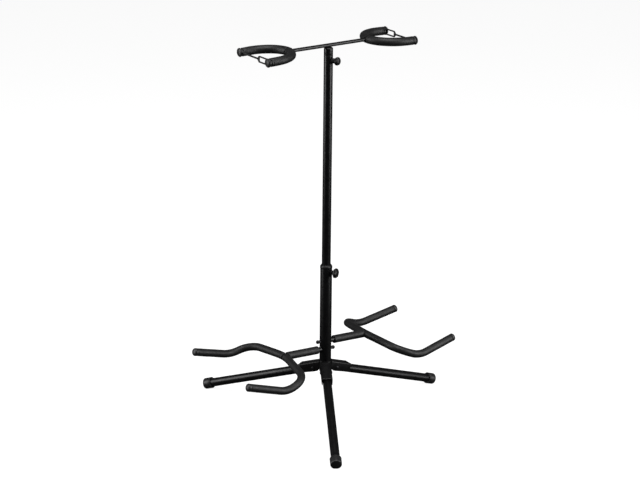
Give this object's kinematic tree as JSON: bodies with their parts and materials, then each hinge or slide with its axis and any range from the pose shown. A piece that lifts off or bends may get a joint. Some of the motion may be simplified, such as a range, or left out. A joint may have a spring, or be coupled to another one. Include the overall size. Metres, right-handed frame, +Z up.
{
  "type": "double guitar stand",
  "caption": "Folding tripod stand with a telescoping mast, foam-covered cradles low down for guitar bodies and padded yokes with rubber straps on top for the necks.",
  "frame": {"origin": "on the floor, under the centre of the bounding box; the post's axis is 16.7 mm to its -X side", "axes": "+Z up along the post, +X along the right cradle and the right leg, +Y to the side of the left leg"},
  "size_m": [0.5686, 0.525, 0.8255],
  "materials": {
    "powder_coated_steel": "smooth semi-gloss black powder coat",
    "black_plastic": "fine-grained moulded black",
    "black_rubber": "matt moulded black",
    "foam_rubber": "soft charcoal closed-cell foam",
    "black_screw_steel": "black oxide steel"
  },
  "bodies": {
    "stand_base": {"lower_tube": "powder_coated_steel", "tube_collar": "black_plastic", "height_knob_nut": "black_screw_steel", "hub_sleeve": "powder_coated_steel", "bottom_plug": "black_plastic", "leg_bracket_right": "powder_coated_steel", "leg_rivet_right": "black_screw_steel", "leg_bracket_left": "powder_coated_steel", "leg_rivet_left": "black_screw_steel", "leg_bracket_front": "powder_coated_steel", "leg_rivet_front": "black_screw_steel", "cradle_stem_right": "powder_coated_steel", "cradle_stem_foam_right": "foam_rubber", "cradle_fork_right": "powder_coated_steel", "cradle_nut_right": "black_screw_steel", "cradle_foam_right_a": "foam_rubber", "cradle_cap_right_a": "black_rubber", "cradle_foam_right_b": "foam_rubber", "cradle_cap_right_b": "black_rubber", "cradle_stem_left": "powder_coated_steel", "cradle_stem_foam_left": "foam_rubber", "cradle_fork_left": "powder_coated_steel", "cradle_nut_left": "black_screw_steel", "cradle_foam_left_a": "foam_rubber", "cradle_cap_left_a": "black_rubber", "cradle_foam_left_b": "foam_rubber", "cradle_cap_left_b": "black_rubber"},
    "leg_right": {"leg_tube_right": "powder_coated_steel", "leg_foot_right": "black_rubber"},
    "leg_left": {"leg_tube_left": "powder_coated_steel", "leg_foot_left": "black_rubber"},
    "leg_front": {"leg_tube_front": "powder_coated_steel", "leg_foot_front": "black_rubber"},
    "mast_carriage": {"mast_glide": "black_plastic"},
    "mast": {"mast_tube": "powder_coated_steel", "yoke_knob_boss": "powder_coated_steel"},
    "yoke_head": {"yoke_stem": "powder_coated_steel", "yoke_crossbar": "powder_coated_steel", "yoke_fork_right": "powder_coated_steel", "yoke_strap_right": "black_rubber", "yoke_foam_right_a": "foam_rubber", "yoke_cap_right_a": "black_rubber", "yoke_foam_right_b": "foam_rubber", "yoke_cap_right_b": "black_rubber", "yoke_fork_left": "powder_coated_steel", "yoke_strap_left": "black_rubber", "yoke_foam_left_a": "foam_rubber", "yoke_cap_left_a": "black_rubber", "yoke_foam_left_b": "foam_rubber", "yoke_cap_left_b": "black_rubber"},
    "height_knob": {"height_knob_screw": "black_screw_steel", "height_knob_head": "black_plastic"},
    "yoke_knob": {"yoke_knob_screw": "black_screw_steel", "yoke_knob_head": "black_plastic"}
  },
  "joints": [
    {"name": "leg_right_fold", "type": "hinge", "parent": "stand_base", "child": "leg_right", "pos_m": [0.009, 0, 0.1013], "axis": [0, 1, 0], "range_deg": [0, 71]},
    {"name": "leg_left_fold", "type": "hinge", "parent": "stand_base", "child": "leg_left", "pos_m": [-0.027, 0.02079, 0.1013], "axis": [-0.866, -0.5, 0], "range_deg": [0, 71]},
    {"name": "leg_front_fold", "type": "hinge", "parent": "stand_base", "child": "leg_front", "pos_m": [-0.027, -0.02079, 0.1013], "axis": [0.866, -0.5, 0], "range_deg": [0, 71]},
    {"name": "mast_height", "type": "slide", "parent": "stand_base", "child": "mast_carriage", "axis": [0, 0, 1], "range_m": [-0.058, 0.075]},
    {"name": "mast_swivel", "type": "hinge", "parent": "mast_carriage", "child": "mast", "pos_m": [-0.015, 0, 0.2367], "axis": [0, 0, 1], "continuous": true},
    {"name": "yoke_height", "type": "slide", "parent": "mast", "child": "yoke_head", "axis": [0, 0, 1], "range_m": [0, 0.06]},
    {"name": "height_knob_turn", "type": "hinge", "parent": "stand_base", "child": "height_knob", "pos_m": [-0.00865, -0.011, 0.3232], "axis": [0.5, -0.866, 0], "continuous": true},
    {"name": "yoke_knob_turn", "type": "hinge", "parent": "mast", "child": "yoke_knob", "pos_m": [-0.01024, -0.00825, 0.785], "axis": [0.5, -0.866, 0], "continuous": true}
  ]
}
